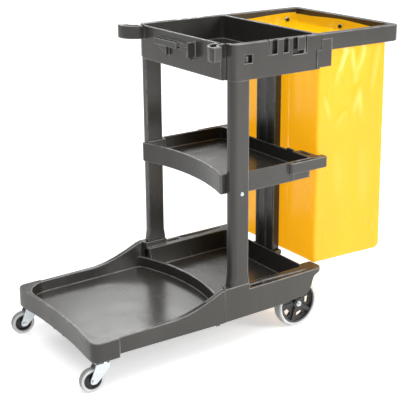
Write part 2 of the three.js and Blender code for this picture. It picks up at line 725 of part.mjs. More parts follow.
function bagFrame() {
  const f = FRAME;
  const outer = plan(frameOutline(HALF_WIDTH, BODY_HALF, f.front, f.outerRadius), f.bottom, TOP);
  const inner = plan(frameOutline(f.innerHalf, f.innerRear, 0, f.innerRadius), 0, FAR);
  const grooveOuter = plan(
    frameOutline(HALF_WIDTH - f.skin, BODY_HALF - f.skin, f.lugRear, f.outerRadius - f.skin),
    0, TOP - f.skin);
  const grooveInner = plan(
    frameOutline(f.innerHalf + f.skin, f.innerRear + f.skin, 0, f.innerRadius + f.skin), 0, FAR);
  const groove = build([grooveOuter], [grooveInner]);
  const lug = plan(outline([
    [f.lugFront, f.innerHalf + 1, 3],
    [f.lugRear, f.innerHalf + 1, 8],
    [f.lugRear, HALF_WIDTH + f.lugProud, 12],
    [f.lugFront, HALF_WIDTH + f.lugProud],
  ]), f.lugBottom, f.lugTop);
  const noseInner = HALF_WIDTH - TRAY.recessDepth + GAP;
  const nose = plan(outline([
    [f.noseFront, noseInner],
    [f.lugFront + 1, noseInner],
    [f.lugFront + 1, HALF_WIDTH + f.lugProud],
    [f.noseFront, HALF_WIDTH + f.lugProud, 3],
  ]), f.lugBottom, TRAY.recessTop - GAP);
  return build([outer, ...bothSides(lug, nose)], [inner, groove]);
}

/** A ring of the bag's skin in plan, moved inwards. */
function bagRing(inset) {
  const b = BAG;
  const half = b.half - inset;
  const radius = b.radius - inset;
  return outline([
    [b.front + inset, -half, radius],
    [b.front + inset, half, radius],
    [b.rear - inset, half, radius],
    [b.rear - inset, -half, radius],
  ]);
}

function wasteBag() {
  const b = BAG;
  const outside = plan(bagRing(0), b.bottom, b.top);
  const inside = plan(bagRing(b.wall), b.bottom + b.wall, FAR);
  const holes = pegPlaces().map((place) => placedPeg(turned([
    [0, -8], [b.holeRadius, -8], [b.holeRadius, 30], [0, 30],
  ], 12), place));
  return build([outside], [inside, ...holes]);
}

/** Where the bag's pegs stand: a name, the point where the peg leaves its wall, and its turn. */
function pegPlaces() {
  const b = BAG;
  return [
    { name: "left_bag_peg", x: b.pegSideX, y: -FRAME.innerHalf, degrees: 0 },
    { name: "right_bag_peg", x: b.pegSideX, y: FRAME.innerHalf, degrees: 180 },
    { name: "rear_bag_peg", x: FRAME.innerRear, y: b.pegRearY, degrees: 90 },
    { name: "front_left_bag_peg", x: TRAY.rear, y: -b.pegFrontY, degrees: -90 },
    { name: "front_right_bag_peg", x: TRAY.rear, y: b.pegFrontY, degrees: -90 },
  ];
}

/** Moves a body turned about Y, standing on Y = 0, to a peg's place. */
function placedPeg(geometry, place) {
  const turn = THREE.MathUtils.degToRad(place.degrees);
  return geometry.rotateZ(turn).translate(place.x, place.y, BAG.pegZ);
}

/** Distance from a peg's wall to the outside of the bag. */
function pegReach(place) {
  if (place.degrees === 90) return FRAME.innerRear - BAG.rear;
  if (place.degrees === -90) return BAG.front - TRAY.rear;
  return FRAME.innerHalf - BAG.half;
}

function bagPeg(place) {
  const reach = pegReach(place) + BAG.wall;
  const peg = turned([
    [0, GAP], [8, GAP], [8, 1.6], [4.5, 1.9], [4.5, reach + 4], [7.5, reach + 5],
    [6, reach + 8.5], [0, reach + 9],
  ], 10);
  return placedPeg(peg, place);
}

function bagGrommet(place) {
  const reach = pegReach(place) + BAG.wall + GAP;
  const ring = turnedRing([[5.6, reach], [12, reach], [10, reach + 2], [7, reach + 2]], 14);
  return placedPeg(ring, place);
}

// ---------------------------------------------------------------- rear wheels and axle

function rearTyre() {
  const w = WHEEL;
  const half = w.width / 2;
  return turnedRing([
    [w.rimRadius + GAP, -half + 2], [w.radius - 6, -half], [w.radius, -half + 7],
    [w.radius, half - 7], [w.radius - 6, half], [w.rimRadius + GAP, half - 2],
  ], 36);
}

function rearHub() {
  const w = WHEEL;
  const half = w.width / 2;
  const web = w.webHalf;
  const wheel = turnedRing([
    [w.boreRadius, -half], [w.hubRadius, -half], [w.hubRadius, -web], [w.rimRadius - 5, -web],
    [w.rimRadius - 5, -half + 2], [w.rimRadius, -half + 2], [w.rimRadius, half - 2],
    [w.rimRadius - 5, half - 2], [w.rimRadius - 5, web], [w.hubRadius, web], [w.hubRadius, half],
    [w.boreRadius, half],
  ], 24);
  const windows = [];
  const spokes = [];
  for (let k = 0; k < w.windows; k += 1) {
    const turn = 2 * Math.PI * k / w.windows;
    const opening = plan(ringSector(
      0, 0, w.windowInner, w.rimRadius - w.windowEdge, -w.windowTurn, w.windowTurn, 3), -20, 20);
    windows.push(opening.rotateX(Math.PI / 2).rotateY(turn));
    const spoke = box(
      w.hubRadius - 2, w.rimRadius - 3, -half + 5, half - 5, -w.spokeHalf, w.spokeHalf);
    spokes.push(spoke.rotateY(turn + Math.PI / w.windows));
  }
  return build([wheel, ...spokes], windows);
}

function pushNut() {
  return turned([[0, 0], [10, 0], [9, 4], [5, 7], [0, 7]], 14);
}

function wheelWasher() {
  const inner = WHEEL.axleRadius + GAP;
  return turnedRing([[inner, 0], [13, 0], [13, WHEEL.washer], [inner, WHEEL.washer]], 14);
}

// ---------------------------------------------------------------- casters, around their swivel axis

const FORK_BOTTOM = CASTER.forkTop - CASTER.plate;

/** The stem and the riveted kingpin under it. Its lower head carries the fork. */
function casterStem() {
  const c = CASTER;
  const seat = PLATFORM.blockBottom - GAP;
  return turned([
    [0, FORK_BOTTOM - 3.6], [7, FORK_BOTTOM - 3.4], [8, FORK_BOTTOM - 0.5], [4, FORK_BOTTOM - 0.5],
    [4, seat - 2.3], [18, seat - 2.3], [18, seat], [c.stemRadius, seat], [c.stemRadius, 139], [0, 139],
  ], 12).rotateX(Math.PI / 2);
}

function casterRace() {
  const low = CASTER.forkTop + GAP;
  const high = PLATFORM.blockBottom - 3;
  return turnedRing([[4.6, low], [21, low], [19, high], [4.6, high]], 16).rotateX(Math.PI / 2);
}

function casterFork() {
  const c = CASTER;
  const crown = build([
    box(-22, 20, -c.legGap - c.plate, c.legGap + c.plate, FORK_BOTTOM, c.forkTop),
  ], [rodZ(0, 0, 4.4, 0, FAR, 14)]);
  const leg = sideways(outline([
    [20, FORK_BOTTOM + 1],
    [20, 74, 4],
    [-c.trail + 9, c.radius - 9, 8],
    [-c.trail - 9, c.radius - 9, 8],
    [-c.trail - 9, c.radius + 6, 6],
    [-22, FORK_BOTTOM + 1],
  ]), c.legGap, c.legGap + c.plate);
  const boltHole = rodY(-c.trail, c.radius, c.axleRadius + GAP, -30, 30, 12);
  return build([crown, ...bothSides(leg)], [boltHole]);
}

function casterAxle() {
  const c = CASTER;
  const face = c.legGap + c.plate + GAP;
  return turned([
    [0, -face - 4], [5.5, -face - 3.4], [5.8, -face], [c.axleRadius, -face], [c.axleRadius, face + 5],
    [0, face + 5],
  ], 12);
}

function casterNut() {
  const c = CASTER;
  const face = c.legGap + c.plate + GAP;
  return nut(c.axleRadius + GAP, 5.8, face, face + 4);
}

function casterHub() {
  const c = CASTER;
  return turnedRing([
    [c.boreRadius, -13], [8, -13], [9, -6], [c.rimRadius, -6], [c.rimRadius, 6], [9, 6], [8, 13],
    [c.boreRadius, 13],
  ], 20);
}

function casterTyre() {
  const c = CASTER;
  const half = c.width / 2;
  return turnedRing([
    [c.rimRadius + 2 * GAP, -half], [c.radius - 4, -half], [c.radius, -half + 5],
    [c.radius, half - 5], [c.radius - 4, half], [c.rimRadius + 2 * GAP, half],
  ], 24);
}

// ---------------------------------------------------------------- bolts

/** A round-headed bolt along Y: head from 0 outwards, shank towards lower Y. */
function bolt(length, headRadius) {
  return turned([
    [0, -length], [3, -length], [3, 0], [headRadius, 0], [headRadius - 1.5, 3], [0, 4.2],
  ], 12);
}

/** A hexagon nut about Y, from y0 to y1. */
function nut(boreRadius, cornerRadius, y0, y1) {
  return build([rodY(0, 0, cornerRadius, y0, y1, 6)], [rodY(0, 0, boreRadius, y0 - 1, y1 + 1, 12)]);
}

// ---------------------------------------------------------------- the cart

const cart = new THREE.Group();
cart.position.x = SHIFT;

/** Adds one named piece with a material of its own. */
function place(name, geometry, finish, parent = cart) {
  const mesh = new THREE.Mesh(geometry, new THREE.MeshStandardMaterial(FINISHES[finish]));
  mesh.name = name;
  parent.add(mesh);
  return mesh;
}

place("front_platform", frontPlatform(), "grey_plastic");
place("rear_tub", rearTub(), "grey_plastic");
place("rear_post", rearPost(), "grey_plastic");
place("middle_shelf", middleShelf(), "grey_plastic");
place("top_tray", topTray(), "grey_plastic");
place("bag_frame", bagFrame(), "grey_plastic");
place("waste_bag", wasteBag(), "yellow_vinyl");
const axleEnd = WHEEL.outerFace + GAP;
place("axle_rod", rodY(WHEEL.x, WHEEL.radius, WHEEL.axleRadius, -axleEnd, axleEnd, 16), "axle_steel");

for (const peg of pegPlaces()) {
  place(peg.name, bagPeg(peg), "black_plastic");
  place(peg.name.replace("peg", "grommet"), bagGrommet(peg), "zinc");
}

for (const [side, sign] of [["left", -1], ["right", 1]]) {
  const onSide = (geometry) => (sign > 0 ? geometry : mirrored(geometry));

  place(`${side}_post`, onSide(frontPost()), "grey_plastic");

  const shelfBolt = bolt(HALF_WIDTH - 212, 7).translate(SHELF.boltX, HALF_WIDTH + GAP, SHELF.boltZ);
  place(`${side}_shelf_bolt`, onSide(shelfBolt), "zinc");
  const nutFace = POST.inner - GAP - SHELF.wall - GAP;
  const shelfNut = nut(SHELF.boltHoleRadius, 6.4, 0, 5).translate(SHELF.boltX, nutFace - 5, SHELF.boltZ);
  place(`${side}_shelf_nut`, onSide(shelfNut), "zinc");

  const joint = new THREE.Group();
  joint.position.set(rearBow(JOINT_BOLT.y), sign * JOINT_BOLT.y, JOINT_BOLT.z);
  joint.rotation.z = Math.PI / 2 + sign * jointTurn();
  cart.add(joint);
  const skirt = PLATFORM.skirtWall + 1;
  const jointBolt = bolt(JOINT_BOLT.length, JOINT_BOLT.headRadius).translate(0, skirt, 0);
  place(`${side}_joint_bolt`, jointBolt, "zinc", joint);
  const jointNut = nut(JOINT_BOLT.holeRadius, 6.4, -skirt - 8, -skirt - 3);
  place(`${side}_joint_nut`, jointNut, "zinc", joint);

  const wheelY = WHEEL.outerFace - WHEEL.width / 2;
  const wheel = new THREE.Group();
  wheel.position.set(WHEEL.x, sign * wheelY, WHEEL.radius);
  cart.add(wheel);
  place(`${side}_rear_tyre`, rearTyre(), "tyre_grey", wheel);
  place(`${side}_rear_hub`, onSide(rearHub()), "black_plastic", wheel);
  const outwards = (geometry, distance) => onSide(geometry.translate(0, distance, 0));
  place(`${side}_push_nut`, outwards(pushNut(), WHEEL.width / 2 + 2 * GAP), "zinc", wheel);
  const washerFace = -WHEEL.width / 2 - WHEEL.washer - GAP;
  place(`${side}_wheel_washer`, outwards(wheelWasher(), washerFace), "zinc", wheel);

  const swivel = new THREE.Group();
  swivel.position.set(CASTER.x, sign * CASTER.y, 0);
  swivel.rotation.z = THREE.MathUtils.degToRad(CASTER.swivelDegrees);
  cart.add(swivel);
  place(`${side}_caster_stem`, casterStem(), "zinc", swivel);
  place(`${side}_caster_race`, casterRace(), "zinc", swivel);
  place(`${side}_caster_fork`, casterFork(), "zinc", swivel);
  const roller = new THREE.Group();
  roller.position.set(-CASTER.trail, 0, CASTER.radius);
  swivel.add(roller);
  place(`${side}_caster_axle`, casterAxle(), "zinc", roller);
  place(`${side}_caster_nut`, casterNut(), "zinc", roller);
  place(`${side}_caster_hub`, casterHub(), "black_plastic", roller);
  place(`${side}_caster_tyre`, casterTyre(), "tyre_grey", roller);
}

export default cart;
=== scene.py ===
import json
import math

import bmesh
import bpy
import numpy as np
from mathutils import Matrix, Vector, noise

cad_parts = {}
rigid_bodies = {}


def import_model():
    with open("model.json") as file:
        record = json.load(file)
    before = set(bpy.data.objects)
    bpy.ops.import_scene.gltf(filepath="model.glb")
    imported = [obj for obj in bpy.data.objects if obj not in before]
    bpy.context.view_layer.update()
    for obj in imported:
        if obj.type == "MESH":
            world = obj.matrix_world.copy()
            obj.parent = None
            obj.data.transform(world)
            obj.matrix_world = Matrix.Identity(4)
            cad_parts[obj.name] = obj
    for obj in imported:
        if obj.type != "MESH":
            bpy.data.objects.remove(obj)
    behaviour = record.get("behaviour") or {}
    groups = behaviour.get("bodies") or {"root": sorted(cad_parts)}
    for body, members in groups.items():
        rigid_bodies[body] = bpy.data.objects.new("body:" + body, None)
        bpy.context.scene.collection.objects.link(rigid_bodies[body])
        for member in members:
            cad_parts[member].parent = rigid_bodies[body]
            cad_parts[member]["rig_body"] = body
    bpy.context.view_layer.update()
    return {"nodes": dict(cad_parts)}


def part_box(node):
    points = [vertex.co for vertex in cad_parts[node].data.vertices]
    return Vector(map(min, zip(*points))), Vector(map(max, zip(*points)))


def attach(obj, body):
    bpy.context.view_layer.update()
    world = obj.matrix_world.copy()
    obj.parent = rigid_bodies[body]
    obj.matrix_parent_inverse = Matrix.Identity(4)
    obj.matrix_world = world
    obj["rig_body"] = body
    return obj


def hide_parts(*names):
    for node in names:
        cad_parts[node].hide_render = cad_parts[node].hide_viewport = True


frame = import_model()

# The looks of a wheeled cleaning cart: bevelled mouldings, finer turned parts, a hung vinyl bag,
# materials, light and camera. Metres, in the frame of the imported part: +X from the platform to the
# bag, -Y the cart's left side, +Z up.

SIDES = {"left": -1, "right": 1}
RIM = "rim"
WHITENING_AND_HIGHLIGHT = "whitening_and_highlight"


# ---------------------------------------------------------------- materials


class Shader:
    """A material with one Principled shader, and short ways to add nodes to it."""

    def __init__(self, name, **constants):
        self.material = bpy.data.materials.new(name)
        self.material.use_nodes = True
        self.tree = self.material.node_tree
        self.surface = self.tree.nodes["Principled BSDF"]
        for socket, value in constants.items():
            self.surface.inputs[socket.replace("_", " ")].default_value = value
        coordinates = self.node("ShaderNodeTexCoord").outputs
        self.place, self.facing = coordinates["Object"], coordinates["Normal"]

    def node(self, kind, inputs=None, **settings):
        made = self.tree.nodes.new(kind)
        for key, value in settings.items():
            setattr(made, key, value)
        for key, value in (inputs or {}).items():
            self.feed(made.inputs[key], value)
        return made

    def feed(self, socket, value):
        if isinstance(value, bpy.types.NodeSocket):
            self.tree.links.new(value, socket)
        else:
            socket.default_value = value

    def stretched(self, x, y, z):
        scale = {"Vector": self.place, "Scale": (x, y, z)}
        return self.node("ShaderNodeMapping", scale).outputs["Vector"]

    def noise(self, scale, detail=3.0, roughness=0.5, distortion=0.0, place=None):
        inputs = {
            "Vector": place or self.place, "Scale": scale, "Detail": detail,
            "Roughness": roughness, "Distortion": distortion,
        }
        return self.node("ShaderNodeTexNoise", inputs).outputs["Fac"]

    def ramp(self, value, low, high, start=0.0, end=1.0):
        """value between low and high, spread over start to end."""
        inputs = {"Value": value, "From Min": low, "From Max": high, "To Min": start, "To Max": end}
        return self.node("ShaderNodeMapRange", inputs).outputs["Result"]

    def combined(self, first, second, operation="ADD"):
        return self.node("ShaderNodeMath", {0: first, 1: second}, operation=operation).outputs[0]

    def mixed(self, share, first, second):
        made = self.node("ShaderNodeMix", data_type="RGBA")
        self.feed(made.inputs["Factor"], share)
        for socket, value in ((made.inputs[6], first), (made.inputs[7], second)):
            self.feed(socket, value if isinstance(value, bpy.types.NodeSocket) else (*value, 1))
        return made.outputs[2]

    def bumps(self, *layers):
        """Bump layers, each (height, strength, distance in metres), one on top of the other."""
        normal = None
        for height, strength, distance in layers:
            inputs = {"Height": height, "Strength": strength, "Distance": distance}
            if normal is not None:
                inputs["Normal"] = normal
            normal = self.node("ShaderNodeBump", inputs).outputs["Normal"]
        self.feed(self.surface.inputs["Normal"], normal)

    def colour(self, value):
        self.feed(self.surface.inputs["Base Color"], value)

    def roughness(self, value):
        self.feed(self.surface.inputs["Roughness"], value)

    def rims(self):
        """1 on the narrow faces along rounded edges and 0 elsewhere."""
        return self.node("ShaderNodeAttribute", attribute_name=RIM).outputs["Fac"]


def grey_plastic():
    """Dark warm grey structural foam moulding: satin, a fine grain, faint flow marks, edges lightened
    by painted highlight and some wear.
    """
    s = Shader("grey_plastic", IOR=1.5, Specular_IOR_Level=0.38)
    flow = s.noise(5, detail=4, distortion=1.2, place=s.stretched(1, 1, 0.5))
    base = s.mixed(s.ramp(flow, 0.3, 0.7), (0.0445, 0.0425, 0.038), (0.0565, 0.0542, 0.049))
    speckle = s.noise(700, detail=2)
    base = s.mixed(s.ramp(speckle, 0.62, 0.8, 0, 0.3), base, (0.085, 0.083, 0.078))
    # Lighter rims: painted highlights along the rounded edges, stronger on upward-facing ones, partly
    # edge wear; the same mask roughens them slightly.
    wear_and_highlight = s.combined(s.rims(), s.ramp(s.noise(30, detail=3), 0.3, 0.6, 0.4, 1), "MULTIPLY")
    upwards = s.node("ShaderNodeSeparateXYZ", {"Vector": s.facing}).outputs["Z"]
    wear_and_highlight = s.combined(wear_and_highlight, s.ramp(upwards, -0.2, 0.6, 0.45, 1), "MULTIPLY")
    s.colour(s.mixed(s.ramp(wear_and_highlight, 0, 1, 0, 0.9), base, (0.27, 0.267, 0.26)))
    rubbed = s.noise(14, detail=3, roughness=0.5, place=s.stretched(1, 1, 0.4))
    s.roughness(s.combined(s.ramp(rubbed, 0.3, 0.7, 0.19, 0.29), s.ramp(wear_and_highlight, 0, 1, 0, 0.06)))
    s.bumps((s.noise(8, detail=1), 0.25, 0.0012), (s.noise(1500, detail=2), 0.12, 0.0002))
    return s.material


def black_plastic():
    """Black moulded nylon, satin, with grey scuffs on its edges."""
    s = Shader("black_plastic", IOR=1.5)
    patch = s.noise(26, detail=4)
    base = s.mixed(s.ramp(patch, 0.3, 0.7), (0.011, 0.011, 0.012), (0.02, 0.02, 0.021))
    s.colour(s.mixed(s.ramp(s.rims(), 0, 1, 0, 0.6), base, (0.09, 0.09, 0.092)))
    s.roughness(s.ramp(s.noise(60, detail=5), 0.3, 0.7, 0.26, 0.44))
    s.bumps((s.noise(40, detail=2), 0.12, 0.0006), (s.noise(1400, detail=2), 0.12, 0.0002))
    return s.material


def yellow_vinyl():
    """Yellow flexible sheet: soft gloss, fine crinkles, subsurface light through it, creases painted
    pale (highlight and stress whitening), a painted glow.
    """
    # The orange emission is a painted glow: it stands in for light passing through the sheet and
    # brightens the bag's shaded side.
    s = Shader("yellow_vinyl", IOR=1.48, Specular_IOR_Level=0.36, Subsurface_Weight=0.5,
               Subsurface_Scale=0.02, Emission_Color=(1.0, 0.56, 0.012, 1.0),
               Emission_Strength=0.43)
    s.surface.inputs["Subsurface Radius"].default_value = (1.0, 0.6, 0.06)
    cloud = s.noise(4, detail=4, distortion=0.8)
    base = s.mixed(s.ramp(cloud, 0.3, 0.7), (0.58, 0.265, 0.004), (0.62, 0.3, 0.006))
    rubbed = s.noise(9, detail=5, roughness=0.6, distortion=0.5, place=s.stretched(1, 1, 0.35))
    base = s.mixed(s.ramp(rubbed, 0.55, 0.8, 0, 0.18), base, (0.62, 0.36, 0.04))
    # Pale streaks on the creases: painted highlights for light caught on the crease slopes, partly
    # stress whitening.
    stretched = s.node("ShaderNodeAttribute", attribute_name=WHITENING_AND_HIGHLIGHT).outputs["Fac"]
    streak_highlight = s.combined(stretched, s.ramp(rubbed, 0.3, 0.6, 0.5, 1), "MULTIPLY")
    s.colour(s.mixed(s.ramp(streak_highlight, 0.12, 0.9, 0, 0.55), base, (0.85, 0.72, 0.3)))
    s.roughness(s.ramp(rubbed, 0.3, 0.75, 0.2, 0.32))
    crinkle = s.noise(26, detail=3, roughness=0.6, distortion=0.7, place=s.stretched(1, 1, 0.45))
    s.bumps(
        (s.noise(7, detail=2, place=s.stretched(1, 1, 0.4)), 0.35, 0.004),
        (crinkle, 0.25, 0.0014),
        (s.noise(900, detail=2), 0.1, 0.0002),
    )
    return s.material


def tyre_grey():
    """Light grey non-marking rubber, matt, blotchy, light on its side faces, its tread painted darker
    as shade and some dirt.
    """
    s = Shader("tyre_grey", IOR=1.5)
    dirt = s.noise(45, detail=6, roughness=0.65)
    sidewall_colour = s.mixed(s.ramp(dirt, 0.35, 0.75), (0.66, 0.665, 0.67), (0.54, 0.545, 0.54))
    facing = s.node("ShaderNodeSeparateXYZ", {"Vector": s.facing}).outputs["Y"]
    sideways = s.combined(facing, 0.0, "ABSOLUTE")
    # The tread, facing away from the axle, is darker: painted shade, partly tread dirt.
    base = s.mixed(s.ramp(sideways, 0.4, 0.9), (0.3, 0.302, 0.3), sidewall_colour)
    s.colour(s.mixed(s.ramp(s.noise(420, detail=2), 0.6, 0.8, 0, 0.3), base, (0.2, 0.2, 0.195)))
    s.roughness(s.ramp(dirt, 0.3, 0.7, 0.48, 0.68))
    s.bumps((s.noise(30, detail=2), 0.1, 0.0008), (s.noise(1200, detail=3), 0.25, 0.0002))
    return s.material


def zinc():
    """Bright zinc plate: a bluish metal with soft spangles, fine drawing lines and dull spots."""
    s = Shader("zinc", Metallic=1.0)
    spangle = s.node("ShaderNodeTexVoronoi", {"Vector": s.place, "Scale": 320.0}).outputs["Color"]
    tone = s.node("ShaderNodeSeparateColor", {"Color": spangle}).outputs["Red"]
    base = s.mixed(s.ramp(tone, 0, 1, 0.2, 0.8), (0.62, 0.67, 0.7), (0.76, 0.81, 0.84))
    dull = s.noise(90, detail=5, roughness=0.7)
    s.colour(s.mixed(s.ramp(dull, 0.58, 0.75, 0, 0.5), base, (0.52, 0.55, 0.57)))
    s.roughness(s.ramp(dull, 0.3, 0.75, 0.22, 0.46))
    lines = s.noise(260, detail=3, place=s.stretched(1, 1, 0.12))
    s.bumps((lines, 0.1, 0.0003), (s.noise(60, detail=2), 0.12, 0.0005))
    return s.material


def axle_steel():
    """Drawn steel rod with drawing lines along Y and a thin film of rust."""
    s = Shader("axle_steel", Metallic=1.0)
    rust = s.noise(60, detail=6, roughness=0.7)
    s.colour(s.mixed(s.ramp(rust, 0.55, 0.75), (0.5, 0.5, 0.5), (0.26, 0.2, 0.16)))
    s.roughness(s.ramp(rust, 0.3, 0.75, 0.3, 0.6))
    s.bumps((s.noise(900, detail=2, place=s.stretched(1, 0.03, 1)), 0.2, 0.0003))
    return s.material


FINISHES = {
    "grey_plastic": grey_plastic(),
    "black_plastic": black_plastic(),
    "yellow_vinyl": yellow_vinyl(),
    "tyre_grey": tyre_grey(),
    "zinc": zinc(),
    "axle_steel": axle_steel(),
}


# ---------------------------------------------------------------- pieces

SHADED_SHARP = math.radians(38)
FLAT_FACE_WEIGHT = 60


def middle(node):
    lo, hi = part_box(node)
    return (lo + hi) / 2


def body_of(node):
    return frame["nodes"][node]["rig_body"]


def add_piece(name, mesh, slot, *replaced):
    """A new visible piece that stands for CAD nodes and moves with the first one's body."""
    piece = bpy.data.objects.new(name, mesh)
    bpy.context.scene.collection.objects.link(piece)
    mesh.materials.clear()
    mesh.materials.append(FINISHES[slot])
    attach(piece, body_of(replaced[0]))
    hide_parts(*replaced)
    return piece


def baked(piece):
    """Replaces the piece's mesh by what its modifiers make of it."""
    bpy.context.view_layer.update()
    shown = piece.evaluated_get(bpy.context.evaluated_depsgraph_get())
    mesh = bpy.data.meshes.new_from_object(shown)
    piece.modifiers.clear()
    piece.data = mesh
    return piece


def smoothed(piece, sharp_angle):
    """Smooth shading, except across edges that turn by more than the angle."""
    piece.data.polygons.foreach_set("use_smooth", [True] * len(piece.data.polygons))
    piece.data.set_sharp_from_angle(angle=sharp_angle)
    return piece


def shaded(piece):
    """Smooth shading that keeps flat faces flat."""
    smoothed(piece, SHADED_SHARP)
    weighted = piece.modifiers.new("flat faces", "WEIGHTED_NORMAL")
    weighted.keep_sharp = True
    weighted.weight = FLAT_FACE_WEIGHT
    return piece


# ---------------------------------------------------------------- rounding the moulded edges

# Edges that turn by more than SHARP are rounded, and those that turn by less than FLAT are dissolved.
SHARP = math.radians(26)
FLAT = math.radians(0.8)

# A face counts as a rim if it is narrower than this share of the rounding and turns this far away.
RIM_TURN = math.radians(5)
RIM_WIDTH = 0.62

# In metres: the room of an edge with nothing near it, the distance within which corners are welded,
# and the smallest rounding that is made.
AMPLE_ROOM = 1.0
WELD_DISTANCE = 2e-5
SMALLEST_ROUNDING = 0.0002

# Places along an edge where the distance to the edges ahead is measured, and how straight ahead
# they must lie, as a cosine.
EDGE_PLACES = (0.04, 0.27, 0.5, 0.73, 0.96)
AHEAD = 0.6

# Shares of an edge's length, and of the gap to the edges ahead, that one rounding may use up.
LENGTH_SHARE = 0.45
GAP_SHARE = 0.42
SMALLEST_SINE = 0.2

MOULDING_ROUNDING = 0.0028
HUB_ROUNDING = 0.0016
FORK_ROUNDING = 0.0009
AXLE_ROUNDING = 0.0008
FASTENER_ROUNDING = 0.0005
WASHER_ROUNDING = 0.0004


def distance_ahead(edge, inward, others):
    """Smallest distance from an edge to other edges that lie ahead of it, across the same face."""
    if not others:
        return AMPLE_ROOM
    a = np.array([e.verts[0].co for e in others])
    b = np.array([e.verts[1].co for e in others])
    ab = b - a
    length = np.maximum((ab * ab).sum(1), 1e-12)
    nearest = AMPLE_ROOM
    start, end = (np.array(v.co) for v in edge.verts)
    for t in EDGE_PLACES:
        p = start + (end - start) * t
        s = np.clip(((p - a) * ab).sum(1) / length, 0, 1)
        gap = a + ab * s[:, None] - p
        far = np.linalg.norm(gap, axis=1)
        ahead = gap @ inward > AHEAD * far
        if ahead.any():
            nearest = min(nearest, float(far[ahead].min()))
    return nearest


def smooth_patches(bm, sharp):
    """Groups of faces that meet along soft edges only."""
    patch = {}
    for face in bm.faces:
        if face in patch:
            continue
        patch[face] = face.index
        queue = [face]
        while queue:
            for edge in queue.pop().edges:
                if edge in sharp:
                    continue
                for other in edge.link_faces:
                    if other not in patch:
                        patch[other] = face.index
                        queue.append(other)
    return patch


def corner_room(edge, inward, patch, number, sharp):
    """How wide a bevel may be before it runs out of length at the edge's two ends, on one patch."""
    room = AMPLE_ROOM
    for vert in edge.verts:
        along = (edge.other_vert(vert).co - vert.co).normalized()
        for other in vert.link_edges:
            if other is edge or number not in [patch[face] for face in other.link_faces]:
                continue
            away = other.other_vert(vert).co - vert.co
            turn = along.angle(away, math.pi)
            if other in sharp and away.normalized().dot(inward) > 0:
                shorter = min(edge.calc_length(), other.calc_length())
                room = min(room, LENGTH_SHARE * shorter * math.tan(turn / 2))
            elif other not in sharp and other.calc_face_angle(0) > FLAT:
                sine = max(math.sin(turn), SMALLEST_SINE)
                room = min(room, LENGTH_SHARE * other.calc_length() * sine)
    return room


def edge_rooms(bm):
    """Every sharp edge, with the widest bevel that there is room for on both of its faces."""
    sharp = {
        e for e in bm.edges
        if len(e.link_faces) == 2 and e.calc_face_angle(0) > SHARP
    }
    patch = smooth_patches(bm, sharp)
    rim = {}
    for edge in sharp:
        for face in edge.link_faces:
            rim.setdefault(patch[face], []).append(edge)
    rooms = {}
    for edge in sharp:
        room = AMPLE_ROOM
        along = (edge.verts[1].co - edge.verts[0].co).normalized()
        for face in edge.link_faces:
            inward = face.normal.cross(along)
            loop = next(l for l in face.loops if l.edge is edge)
            if (loop.link_loop_next.vert.co - loop.vert.co).dot(along) < 0:
                inward.negate()
            room = min(room, corner_room(edge, inward, patch, patch[face], sharp))
            apart = [
                e for e in rim[patch[face]]
                if e is not edge and not set(e.verts) & set(edge.verts)
            ]
            room = min(room, GAP_SHARE * distance_ahead(edge, np.array(inward), apart))
        rooms[edge] = room
    return rooms


def marked_rims(piece, radius):
    """Marks the narrow faces that a bevel of this radius has made, for the material to read."""
    bm = bmesh.new()
    bm.from_mesh(piece.data)
    values = []
    for face in bm.faces:
        edges = sorted(face.edges, key=lambda edge: edge.calc_length())
        narrow = face.calc_area() < RIM_WIDTH * radius * edges[-1].calc_length()
        turned_away = any(edge.calc_face_angle(0) > RIM_TURN for edge in edges[-2:])
        values += [float(narrow and turned_away)] * len(face.loops)
    bm.free()
    rim = piece.data.attributes.new(RIM, "FLOAT", "CORNER")
    rim.data.foreach_set("value", values)
    return piece


def refined(node, slot, radius, segments=3):
    """A copy of a CAD node with its sharp edges rounded as far as there is room for."""
    bm = bmesh.new()
    bm.from_mesh(frame["nodes"][node].data)
    bmesh.ops.remove_doubles(bm, verts=bm.verts, dist=WELD_DISTANCE)
    bmesh.ops.dissolve_limit(bm, angle_limit=FLAT, verts=bm.verts, edges=bm.edges)
    bmesh.ops.triangulate(bm, faces=bm.faces, quad_method="BEAUTY", ngon_method="BEAUTY")
    flat_edges = [e for e in bm.edges if e.calc_face_angle(1) < FLAT]
    bmesh.ops.beautify_fill(bm, faces=bm.faces, edges=flat_edges, method="ANGLE")
    bm.normal_update()
    weight = bm.edges.layers.float.new("bevel_weight_edge")
    for edge, room in edge_rooms(bm).items():
        share = min(1.0, room / radius)
        edge[weight] = share if share * radius > SMALLEST_ROUNDING else 0.0
    mesh = bpy.data.meshes.new(f"{node}_shown")
    bm.to_mesh(mesh)
    bm.free()
    piece = add_piece(f"{node}_shown", mesh, slot, node)
    bevel = piece.modifiers.new("rounded edges", "BEVEL")
    bevel.limit_method = "WEIGHT"
    bevel.width = radius
    bevel.segments = segments
    bevel.use_clamp_overlap = False
    bevel.loop_slide = False
    return shaded(marked_rims(baked(piece), radius))


# ---------------------------------------------------------------- turned parts

FILLET_STEPS = 4
ON_THE_AXIS = 1e-7


def filleted(profile, radius, closed):
    """A profile of (radius, height) points with its corners rounded."""
    points = [Vector(p) for p in profile]
    rounded = []
    count = len(points)
    for i, corner in enumerate(points):
        if not closed and i in (0, count - 1):
            rounded.append(corner)
            continue
        back = points[i - 1] - corner
        on = points[(i + 1) % count] - corner
        reach = min(radius, LENGTH_SHARE * back.length, LENGTH_SHARE * on.length)
        start = corner + back.normalized() * reach
        end = corner + on.normalized() * reach
        for k in range(FILLET_STEPS + 1):
            t = k / FILLET_STEPS
            rounded.append(start * (1 - t) ** 2 + corner * 2 * t * (1 - t) + end * t ** 2)
    return rounded


